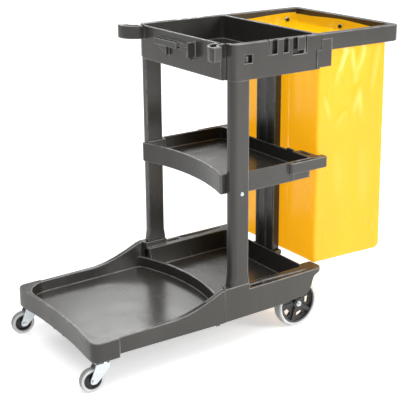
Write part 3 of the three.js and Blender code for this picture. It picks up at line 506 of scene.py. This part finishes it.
def turned(name, profile, slot, node, axis, centre, radius=0.0008, closed=False, sides=64):
    """A body of revolution about an axis. An open profile starts and ends on the axis."""
    points = filleted(profile, radius, closed)
    bm = bmesh.new()
    rings = []
    for r, h in points:
        if r < ON_THE_AXIS:
            rings.append([bm.verts.new((0, 0, h))])
            continue
        angles = [2 * math.pi * k / sides for k in range(sides)]
        rings.append([bm.verts.new((r * math.cos(a), r * math.sin(a), h)) for a in angles])
    following = rings[1:] + rings[:1] if closed else rings[1:]
    for lower, upper in zip(rings, following):
        for k in range(sides):
            ring = [lower[k % len(lower)], lower[(k + 1) % len(lower)]]
            ring += [upper[(k + 1) % len(upper)], upper[k % len(upper)]]
            corners = list(dict.fromkeys(ring))
            if len(corners) > 2:
                bm.faces.new(corners)
    bmesh.ops.recalc_face_normals(bm, faces=bm.faces)
    turn = Vector(axis).to_track_quat("Z", "Y").to_matrix().to_4x4()
    bm.transform(Matrix.Translation(centre) @ turn)
    mesh = bpy.data.meshes.new(name)
    bm.to_mesh(mesh)
    bm.free()
    return shaded(add_piece(name, mesh, slot, node))


MOULDINGS = (
    "front_platform", "rear_tub", "rear_post", "middle_shelf", "top_tray", "bag_frame",
    "left_post", "right_post",
)
for moulding in MOULDINGS:
    refined(moulding, "grey_plastic", radius=MOULDING_ROUNDING)


# ---------------------------------------------------------------- wheels, casters and fasteners

CASTER_TURN = math.radians(-8)
CASTER_TYRE_HALF = 0.011
BOLT_CROWN = 0.0042


def rear_wheel(side, sign):
    lo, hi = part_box(f"{side}_rear_tyre")
    outer = (hi.z - lo.z) / 2
    half = (hi.y - lo.y) / 2
    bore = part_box(f"{side}_rear_hub")[1].z - middle(f"{side}_rear_hub").z + 0.0003
    centre = middle(f"{side}_rear_tyre")
    profile = [
        (bore, -half + 0.002), (bore + 0.004, -half + 0.0004), (outer - 0.006, -half),
        (outer - 0.002, -half + 0.003), (outer, -half + 0.009), (outer, half - 0.009),
        (outer - 0.002, half - 0.003), (outer - 0.006, half), (bore + 0.004, half - 0.0004),
        (bore, half - 0.002),
    ]
    turned(f"{side}_rear_tyre_shown", profile, "tyre_grey", f"{side}_rear_tyre", (0, sign, 0),
           centre, radius=0.003, closed=True, sides=96)
    refined(f"{side}_rear_hub", "black_plastic", radius=HUB_ROUNDING)
    cap_lo, cap_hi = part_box(f"{side}_push_nut")
    cap = (cap_hi.z - cap_lo.z) / 2
    tall = cap_hi.y - cap_lo.y
    foot = Vector((centre.x, cap_lo.y if sign > 0 else cap_hi.y, centre.z))
    turned(f"{side}_push_nut_shown", [
        (0, tall * 0.2), (cap * 0.2, tall * 0.24), (cap * 0.3, tall * 0.94), (cap * 0.5, tall),
        (cap * 0.82, tall * 0.66), (cap * 0.9, tall * 0.3), (cap, tall * 0.22), (cap, 0), (0, 0),
    ], "zinc", f"{side}_push_nut", (0, sign, 0), foot, radius=0.001, sides=48)
    refined(f"{side}_wheel_washer", "zinc", radius=WASHER_ROUNDING, segments=2)


def caster(side):
    axis = Vector((-math.sin(CASTER_TURN), math.cos(CASTER_TURN), 0))
    centre = middle(f"{side}_caster_tyre")
    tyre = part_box(f"{side}_caster_tyre")
    outer = (tyre[1].z - tyre[0].z) / 2
    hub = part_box(f"{side}_caster_hub")
    rim = (hub[1].z - hub[0].z) / 2
    half = CASTER_TYRE_HALF
    bore = rim + 0.0005
    turned(f"{side}_caster_tyre_shown", [
        (bore, -half + 0.0005), (outer - 0.004, -half), (outer - 0.001, -half + 0.003), (outer, 0),
        (outer - 0.001, half - 0.003), (outer - 0.004, half), (bore, half - 0.0005),
    ], "tyre_grey", f"{side}_caster_tyre", axis, centre, radius=0.003, closed=True, sides=80)
    turned(f"{side}_caster_hub_shown", [
        (0.0036, -0.013), (0.008, -0.013), (0.0092, -0.0065), (rim - 0.006, -0.006),
        (rim - 0.004, -half + 0.001), (rim, -half + 0.0015), (rim, half - 0.0015),
        (rim - 0.004, half - 0.001), (rim - 0.006, 0.006), (0.0092, 0.0065), (0.008, 0.013),
        (0.0036, 0.013),
    ], "black_plastic", f"{side}_caster_hub", axis, centre, radius=0.0015, closed=True, sides=64)
    refined(f"{side}_caster_fork", "zinc", radius=FORK_ROUNDING)
    for part in ("race", "stem", "axle", "nut"):
        refined(f"{side}_caster_{part}", "zinc", radius=FASTENER_ROUNDING, segments=2)


def shelf_bolt(side, sign):
    node = f"{side}_shelf_bolt"
    lo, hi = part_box(node)
    centre = (lo + hi) / 2
    head = (hi.z - lo.z) / 2
    crown = BOLT_CROWN
    outer = Vector((centre.x, (hi.y if sign > 0 else lo.y) - sign * crown, centre.z))
    length = hi.y - lo.y - crown
    turned(f"{node}_shown", [
        (0, crown - 0.0012), (head * 0.3, crown - 0.0012), (head * 0.36, crown - 0.0002),
        (head * 0.62, crown * 0.9), (head * 0.92, crown * 0.42), (head, 0.0006), (head, 0),
        (0.003, 0), (0.003, -length), (0, -length),
    ], "zinc", node, (0, sign, 0), outer, radius=0.0006, sides=40)
    refined(f"{side}_shelf_nut", "zinc", radius=FASTENER_ROUNDING, segments=2)


for side, sign in SIDES.items():
    rear_wheel(side, sign)
    caster(side)
    shelf_bolt(side, sign)
    for part in ("joint_bolt", "joint_nut"):
        refined(f"{side}_{part}", "zinc", radius=FASTENER_ROUNDING, segments=2)
refined("axle_rod", "axle_steel", radius=AXLE_ROUNDING)


# ---------------------------------------------------------------- the bag, its pegs and grommets

BAG_LO, BAG_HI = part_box("waste_bag")
BAG_CORNER = 0.009
BAG_CORNER_STEPS = 7
BAG_CELL = 0.0065
BAG_SHARP = math.radians(60)
VINYL = 0.0008
BAG_PEGS = (
    "left_bag_peg", "right_bag_peg", "rear_bag_peg", "front_left_bag_peg", "front_right_bag_peg",
)
PEG_HEIGHT = middle("rear_bag_peg").z
PEG_NEAR_WALL = 0.03
PEG_ON_SIDE_WALL = 0.47

# The hem: its height, how far it stands out, its sag away from the pegs, the distance from a peg at
# which that sag is full, and the height over which it fades down the wall.
HEM = 0.026
HEM_PROUD = 0.0007
HEM_SAG = 0.007
HEM_SAG_REACH = 0.16
HEM_SAG_FADE = 0.2

# The welded seam round the bottom: its height, and how far it pulls the walls in. Then the bottom
# panel's rings, waves and sag.
SEAM_HEIGHT = 0.021
SEAM_PINCH = 0.005
BOTTOM_RINGS = 12
BOTTOM_WAVE = 0.0015
BOTTOM_SAG = 0.001

# How the whole bag hangs: walls fallen in, a lean backwards, and a lower, rounded rear end.
FALL_IN = 0.009
LEAN = 0.013
REAR_SAG = 0.011
REAR_ROUND = 0.014

# Heights of the waves in the sheet. Then the two folds left from packing, which run round the bag:
# their places as shares of its height, their depth, and their width as a share of its height.
WIDE_WAVE = 0.0026
SMALL_WAVE = 0.0009
BUCKLE = 0.0012
PACKED_FOLDS = (0.36, 0.7)
PACKED_DEPTH = 0.0007
PACKED_WIDTH = 0.006

# The front wall lies further in up to this share of its length, which makes one upright fold.
FRONT_FOLD = 0.69
FRONT_SET_BACK = 0.007
FRONT_FOLD_WIDTH = 0.05

# How far the sheet may stand out at the front and near the top, and elsewhere.
SNUG_ROOM = 0.0016
FREE_ROOM = 0.005
SNUG_TOP = 0.05

# The lift at which a crease gets its full pale streak, a painted highlight that is partly stress
# whitening, and how creases fade at corners and the hem.
DEEP_CREASE = 0.008
CORNER_FADE = 6
HEM_FADE = 0.02
PEG_FOLD_WIDTH = 0.01

# Folds below each peg: how far they spread sideways, how far they reach down, and their lift.
PEG_FOLDS = ((-0.075, 0.12, 0.0017), (0.06, 0.13, 0.0014), (-0.012, 0.17, 0.001))

# Soft creases of the side and rear walls: start and end as shares of the wall's length and height,
# then width and lift in metres.
SIDE_CREASES = (
    (0.42, 0.98, 0.24, 0.80, 0.012, 0.0085),
    (0.46, 0.95, 0.56, 0.79, 0.011, 0.0060),
    (0.70, 0.98, 0.56, 0.80, 0.012, 0.0080),
    (0.62, 0.76, 0.53, 0.62, 0.011, 0.0050),
    (0.63, 0.74, 0.68, 0.60, 0.011, 0.0050),
    (0.05, 0.74, 0.20, 0.61, 0.012, 0.0045),
    (0.40, 0.66, 0.22, 0.58, 0.012, 0.0030),
    (0.30, 0.48, 0.34, 0.16, 0.030, 0.0026),
    (0.72, 0.50, 0.76, 0.10, 0.034, 0.0026),
    (0.90, 0.93, 0.80, 0.70, 0.012, 0.0040),
)


class BagSide:
    """One wall of the bag seen from outside: where it starts, its direction and its outward normal."""

    def __init__(self, start, along, length):
        self.start, self.along, self.length = Vector(start), Vector(along), length
        self.outward = Vector((self.along.y, -self.along.x))


def bag_sides():
    """The four straight walls, anticlockwise seen from above, from the front wall's right end."""
    c = BAG_CORNER
    lo, hi = BAG_LO, BAG_HI
    wide, deep = hi.y - lo.y - 2 * c, hi.x - lo.x - 2 * c
    return [
        BagSide((lo.x, hi.y - c), (0, -1), wide),
        BagSide((lo.x + c, lo.y), (1, 0), deep),
        BagSide((hi.x, lo.y + c), (0, 1), wide),
        BagSide((hi.x - c, hi.y), (-1, 0), deep),
    ]


def bag_columns():
    """Places round the bag: the point, its outward normal, the wall's number and the share along it."""
    columns = []
    sides = bag_sides()
    for number, wall in enumerate(sides):
        steps = round(wall.length / BAG_CELL)
        for k in range(steps):
            share = k / steps
            point = wall.start + wall.along * wall.length * share
            columns.append((point, wall.outward, number, share))
        after = sides[(number + 1) % 4]
        end = wall.start + wall.along * wall.length
        centre = end - wall.outward * BAG_CORNER
        for k in range(BAG_CORNER_STEPS):
            turn = math.pi / 2 * k / BAG_CORNER_STEPS
            outward = wall.outward * math.cos(turn) + after.outward * math.sin(turn)
            columns.append((centre + outward * BAG_CORNER, outward, number, 1.0))
    return columns


def fold(x, width):
    """A rounded ridge of height 1 at x = 0."""
    return math.exp(-(x / width) ** 2)


def crease(along, up, stroke):
    """Height of one crease at a place on a wall: along the wall and up it, both in metres."""
    (x0, z0), (x1, z1), width, lift = stroke
    dx, dz = x1 - x0, z1 - z0
    share = ((along - x0) * dx + (up - z0) * dz) / (dx * dx + dz * dz)
    near = min(1.0, max(0.0, share))
    far = math.hypot(along - x0 - dx * near, up - z0 - dz * near)
    taper = 0.35 + 0.65 * math.sin(math.pi * min(1.0, 0.15 + near))
    return lift * taper * fold(far, width)


def wall_creases(number, length, pegs):
    """The creases of one wall: tension folds below its pegs, and soft ones that slant down the wall."""
    strokes = []
    top = BAG_HI.z - BAG_LO.z
    for peg in pegs:
        for sideways, down, lift in PEG_FOLDS:
            start = (peg + sideways * 0.15, PEG_HEIGHT - BAG_LO.z - 0.02)
            strokes.append((start, (peg + sideways, top - down), PEG_FOLD_WIDTH, lift))
    if number > 0:
        for x0, z0, x1, z1, width, lift in SIDE_CREASES:
            places = [(x if number == 1 else 1 - x) * length for x in (x0, x1)]
            strokes.append(((places[0], z0 * top), (places[1], z1 * top), width, lift))
    return strokes


def creased(share, length, z, strokes):
    """Height of all the creases of a wall at one place, fading at its corners and at the hem."""
    at_corners = min(1.0, CORNER_FADE * math.sin(math.pi * share))
    fading = at_corners * min(1.0, (BAG_HI.z - z) / HEM_FADE)
    return fading * sum(crease(share * length, z - BAG_LO.z, stroke) for stroke in strokes)


def bag_push(point, number, share, z):
    """How far the vinyl stands out from its straight wall there, in metres. Mostly it falls in."""
    low, high = BAG_LO.z, BAG_HI.z
    t = (z - low) / (high - low)
    across = math.sin(math.pi * share)
    push = -FALL_IN * across * math.sin(math.pi * min(1.0, t * 1.02)) ** 0.8
    wide = noise.noise(Vector((point.x * 7, point.y * 7, z * 1.6)))
    small = noise.noise(Vector((point.x * 21 + 5, point.y * 21, z * 6)))
    push += (WIDE_WAVE * wide + SMALL_WAVE * small) * (0.25 + 0.75 * across)
    buckle = noise.noise(Vector((point.x * 9, point.y * 9 + 3, z * 22)))
    push += BUCKLE * buckle * (1 - across) ** 3 * math.sin(math.pi * t)
    for folded in PACKED_FOLDS:
        push -= PACKED_DEPTH * fold(t - folded, PACKED_WIDTH)
    if number == 0:
        set_back = min(1.0, max(0.0, (FRONT_FOLD - share) / FRONT_FOLD_WIDTH))
        push -= FRONT_SET_BACK * set_back * math.sin(math.pi * min(1.0, t * 1.05)) ** 0.5
    return push


def bag_hem_drop(number, share, length, pegs):
    """How far the hem sags below its height at the pegs."""
    nearest = min([abs(share * length - peg) for peg in pegs[number]] or [0.1])
    return HEM_SAG * min(1.0, nearest / HEM_SAG_REACH) ** 1.3


def peg_places(sides):
    """For each wall, how far along it its pegs are."""
    places = []
    for wall in sides:
        here = []
        for peg in BAG_PEGS:
            spot = Vector(middle(peg)[:2]) - wall.start
            along = spot.dot(wall.along)
            if abs(spot.dot(wall.outward)) < PEG_NEAR_WALL and 0 < along < wall.length:
                here.append(along)
        places.append(here)
    return places


def bag_wall_heights():
    """Heights of the wall's rows as shares of the way up, closer together at the hem and the seam."""
    low, high = BAG_LO.z, BAG_HI.z
    steps = round((high - low) / BAG_CELL)
    rows = [low + (high - low) * k / steps for k in range(steps + 1)]
    rows += [high - HEM, high - HEM - 0.0012, high - 0.0015, low + 0.002]
    return sorted(rows)


def build_bag():
    sides = bag_sides()
    pegs = peg_places(sides)
    creases = [wall_creases(n, wall.length, pegs[n]) for n, wall in enumerate(sides)]
    columns = bag_columns()
    count = len(columns)
    low, high = BAG_LO.z, BAG_HI.z
    bm = bmesh.new()
    whitening_and_highlight = bm.verts.layers.float.new(WHITENING_AND_HIGHLIGHT)
    rings = []
    for z in bag_wall_heights():
        ring = []
        for point, outward, number, share in columns:
            length = sides[number].length
            raised = creased(share, length, z, creases[number])
            push = bag_push(point, number, share, z) + raised
            seam = max(0.0, 1 - (z - low) / SEAM_HEIGHT)
            push -= SEAM_PINCH * (1 - math.sqrt(max(0.0, 1 - seam ** 2)))
            if z >= high - HEM:
                push += HEM_PROUD
            snug = number == 0 or z > high - SNUG_TOP
            spot = point + outward * min(push, SNUG_ROOM if snug else FREE_ROOM)
            backwards = (point.x - BAG_LO.x) / (BAG_HI.x - BAG_LO.x)
            spot.x += LEAN * backwards * (high - z) / (high - low)
            spot.x -= REAR_ROUND * backwards ** 8 * seam ** 2
            near_hem = max(0.0, 1 - (high - z) / HEM_SAG_FADE)
            drop = bag_hem_drop(number, share, length, pegs) * near_hem
            drop += REAR_SAG * backwards * (high - z) / (high - low)
            made = bm.verts.new((spot.x, spot.y, z - drop))
            # The crease height sets the pale streak, a painted highlight that is partly stress
            # whitening, which the vinyl material reads.
            made[whitening_and_highlight] = raised / DEEP_CREASE
            ring.append(made)
        rings.append(ring)
    for lower, upper in zip(rings, rings[1:]):
        for k in range(count):
            after = (k + 1) % count
            bm.faces.new((lower[k], lower[after], upper[after], upper[k]))
    close_bag_bottom(bm, rings[0])
    bmesh.ops.recalc_face_normals(bm, faces=bm.faces)
    mesh = bpy.data.meshes.new("bag")
    bm.to_mesh(mesh)
    bm.free()
    piece = add_piece("bag", mesh, "yellow_vinyl", "waste_bag")
    thick = piece.modifiers.new("vinyl", "SOLIDIFY")
    thick.thickness = VINYL
    thick.offset = -1
    return smoothed(baked(piece), BAG_SHARP)


def close_bag_bottom(bm, ring):
    """The bottom panel: rings that shrink towards the middle and sag a little."""
    centre = Vector((*((BAG_LO + BAG_HI) / 2)[:2], 0))
    outer = [v.co.copy() for v in ring]
    last = ring
    for k in range(1, BOTTOM_RINGS):
        share = 1 - k / BOTTOM_RINGS
        inner = []
        for co in outer:
            spot = centre + (co - centre) * share
            wave = noise.noise(Vector((spot.x * 14, spot.y * 14, 2)))
            height = co.z + BOTTOM_WAVE * wave - BOTTOM_SAG * (1 - share)
            inner.append(bm.verts.new((spot.x, spot.y, height)))
        for i in range(len(inner)):
            after = (i + 1) % len(inner)
            bm.faces.new((inner[i], inner[after], last[after], last[i]))
        last = inner
    tip = bm.verts.new((centre.x, centre.y, outer[0].z - BOTTOM_SAG))
    for i in range(len(last)):
        bm.faces.new((last[i], tip, last[(i + 1) % len(last)]))


def peg_direction(peg):
    """The way a peg points, from its wall into the bag."""
    spot = middle(peg) - (BAG_LO + BAG_HI) / 2
    if abs(spot.y) > (BAG_HI.y - BAG_LO.y) * PEG_ON_SIDE_WALL:
        return Vector((0, -math.copysign(1, spot.y), 0))
    return Vector((-math.copysign(1, spot.x), 0, 0))


def peg_and_grommet(peg):
    lo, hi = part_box(peg)
    centre = (lo + hi) / 2
    inwards = peg_direction(peg)
    length = abs((hi - lo).dot(inwards))
    foot = centre - inwards * length / 2
    radius = (hi.z - lo.z) / 2
    turned(f"{peg}_shown", [
        (0, 0), (radius, 0), (radius, 0.0014), (radius * 0.56, 0.0018),
        (radius * 0.56, length - 0.005), (radius * 0.94, length - 0.0046),
        (radius * 0.82, length - 0.0022), (radius * 0.45, length - 0.0004), (0, length),
    ], "black_plastic", peg, inwards, foot, radius=0.0012, sides=40)
    grommet = peg.replace("peg", "grommet")
    ring_lo, ring_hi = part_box(grommet)
    outer = (ring_hi.z - ring_lo.z) / 2
    seat = (ring_lo + ring_hi) / 2
    turned(f"{grommet}_shown", [
        (outer * 0.48, -0.001), (outer * 0.84, -0.001), (outer * 0.8, 0.0004),
        (outer * 0.66, 0.0008), (outer * 0.5, 0.0004),
    ], "zinc", grommet, inwards, seat, radius=0.0006, closed=True, sides=40)


bag = build_bag()
for peg in BAG_PEGS:
    peg_and_grommet(peg)


# ---------------------------------------------------------------- floor, light and camera


def floor():
    bpy.ops.mesh.primitive_grid_add(x_subdivisions=2, y_subdivisions=2, size=40)
    ground = bpy.context.object
    ground.name = "floor"
    s = Shader("studio_floor", Emission_Color=(1.0, 1.0, 1.0, 1.0), Emission_Strength=0.5)
    s.colour(s.mixed(s.ramp(s.noise(3, detail=3), 0.3, 0.7), (0.86, 0.86, 0.86), (0.9, 0.9, 0.9)))
    s.roughness(s.ramp(s.noise(9, detail=4), 0.3, 0.7, 0.6, 0.75))
    ground.data.materials.append(s.material)


def soft_light(name, place, target, size, power):
    lamp = bpy.data.lights.new(name, "AREA")
    lamp.shape = "DISK"
    lamp.size = size
    lamp.energy = power
    holder = bpy.data.objects.new(name, lamp)
    holder.location = place
    holder.rotation_euler = (Vector(target) - Vector(place)).to_track_quat("-Z", "Y").to_euler()
    bpy.context.scene.collection.objects.link(holder)


def surroundings(dim, bright, towards):
    """An even sky that brightens towards one side."""
    world = bpy.data.worlds.new("studio")
    bpy.context.scene.world = world
    world.use_nodes = True
    nodes, links = world.node_tree.nodes, world.node_tree.links
    place = nodes.new("ShaderNodeTexCoord").outputs["Generated"]
    side = nodes.new("ShaderNodeVectorMath")
    side.operation = "DOT_PRODUCT"
    side.inputs[1].default_value = towards
    links.new(place, side.inputs[0])
    spread = nodes.new("ShaderNodeMapRange")
    links.new(side.outputs["Value"], spread.inputs["Value"])
    spread.inputs["From Min"].default_value = -0.1
    spread.inputs["To Min"].default_value = dim
    spread.inputs["To Max"].default_value = bright
    background = nodes["Background"]
    background.inputs["Color"].default_value = (1, 1, 1, 1)
    links.new(spread.outputs["Result"], background.inputs["Strength"])


def overhead(strength, angle, tilt):
    """Even light from high above, tipped towards the cart's left side and its front."""
    lamp = bpy.data.lights.new("overhead", "SUN")
    lamp.energy = strength
    lamp.angle = math.radians(angle)
    holder = bpy.data.objects.new("overhead", lamp)
    holder.rotation_euler = (math.radians(tilt[0]), math.radians(tilt[1]), 0)
    holder.location = (0, 0, 4)
    bpy.context.scene.collection.objects.link(holder)


def camera(azimuth, elevation, distance, target, lens, shift):
    """A camera round the target; azimuth 0 looks along +Y, in degrees."""
    a, e = math.radians(azimuth), math.radians(elevation)
    back = Vector((math.sin(a) * math.cos(e), -math.cos(a) * math.cos(e), math.sin(e)))
    data = bpy.data.cameras.new("camera")
    data.lens = lens
    data.shift_x, data.shift_y = shift
    holder = bpy.data.objects.new("camera", data)
    holder.location = Vector(target) + back * distance
    holder.rotation_euler = (-back).to_track_quat("-Z", "Y").to_euler()
    bpy.context.scene.collection.objects.link(holder)
    bpy.context.scene.camera = holder


floor()
surroundings(dim=0.2, bright=0.72, towards=(0.57, 0.8, 0.1))
overhead(strength=1.5, angle=50, tilt=(18, -14))
soft_light("key", (2.3, -3.5, 2.1), (0.1, 0, 0.6), size=2.0, power=125)
soft_light("rim", (1.5, 3.0, 2.6), (0, 0, 0.6), size=1.6, power=40)
camera(azimuth=-35.83, elevation=16.74, distance=3.278, target=(0.0795, 0, 0.5244), lens=88.98,
       shift=(-0.06, -0.09))
bpy.context.scene.view_settings.view_transform = "Standard"

bpy.context.view_layer.update()
